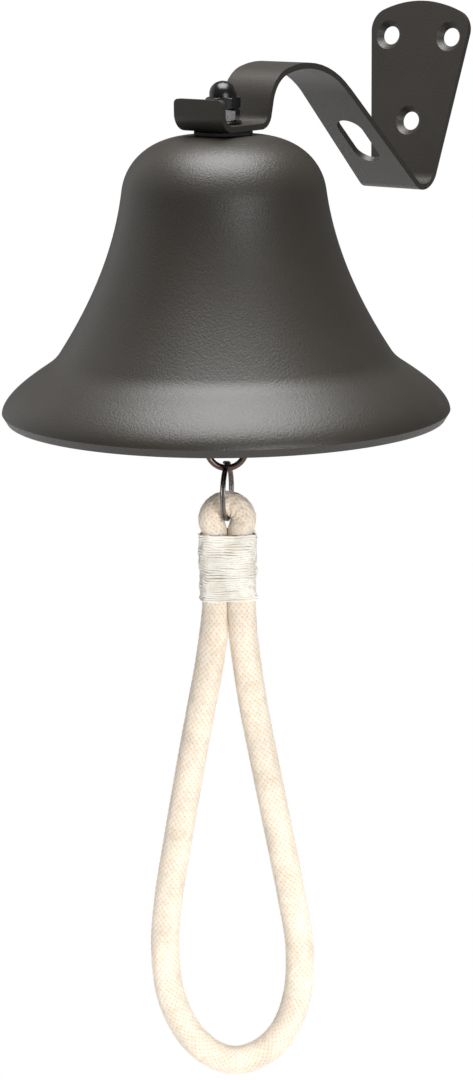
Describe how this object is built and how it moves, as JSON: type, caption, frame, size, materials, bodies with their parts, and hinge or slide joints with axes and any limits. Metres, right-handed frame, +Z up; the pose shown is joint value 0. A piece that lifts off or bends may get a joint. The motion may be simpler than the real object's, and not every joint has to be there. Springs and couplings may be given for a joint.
{
  "type": "wall mounted bell",
  "caption": "Bell on a bent strap wall bracket, with a hanging clapper, rings and a rope loop to pull.",
  "frame": {"origin": "on the wall plate's back face, on its centre line, half way between the upper screws and the lower one", "axes": "+Z up, +Y into the wall, +X to the right of someone who faces the wall; the bell hangs out along -Y"},
  "size_m": [0.1504, 0.1928, 0.3686],
  "materials": {
    "powder_coat": "matte, fine orange peel",
    "rubber_black": "matt",
    "zinc_plate": "satin",
    "gloss_black": "gloss",
    "dark_iron": "as cast, blackened",
    "bronzed_steel": "satin, dark brown",
    "dark_steel": "polished",
    "cotton_rope": "braided",
    "whipping_thread": "wound thread"
  },
  "bodies": {
    "fixed": {"bracket": "powder_coat", "bell_shell": "powder_coat", "crown_gasket": "rubber_black", "inner_gasket": "rubber_black", "inner_washer": "zinc_plate", "inner_nut": "zinc_plate", "seat_washer": "gloss_black", "lock_nut": "gloss_black", "acorn_nut": "gloss_black", "eye_bolt": "zinc_plate"},
    "link": {"clapper_link": "zinc_plate"},
    "clapper": {"clapper_rod": "dark_iron", "clapper_ball": "dark_iron"},
    "ring": {"pull_ring": "bronzed_steel"},
    "split": {"split_ring": "dark_steel"},
    "pull": {"rope": "cotton_rope", "whipping": "whipping_thread"}
  },
  "joints": [
    {"name": "link_swing", "type": "hinge", "parent": "fixed", "child": "link", "pos_m": [0, -0.11192, -0.03601], "axis": [-0.6157, 0.788, 0], "range_deg": [-10, 10]},
    {"name": "clapper_swing", "type": "hinge", "parent": "link", "child": "clapper", "pos_m": [0, -0.11192, -0.04621], "axis": [0.788, 0.6157, 0], "range_deg": [-32, 32]},
    {"name": "ring_swing", "type": "hinge", "parent": "clapper", "child": "ring", "pos_m": [0, -0.11192, -0.11321], "axis": [-0.6157, 0.788, 0], "range_deg": [-15, 15]},
    {"name": "split_ring_swing", "type": "hinge", "parent": "ring", "child": "split", "pos_m": [0, -0.11192, -0.12356], "axis": [0.788, 0.6157, 0], "range_deg": [-15, 15]},
    {"name": "rope_swing", "type": "hinge", "parent": "split", "child": "pull", "pos_m": [0, -0.11192, -0.14128], "axis": [-0.6157, 0.788, 0], "range_deg": [-20, 20]}
  ]
}
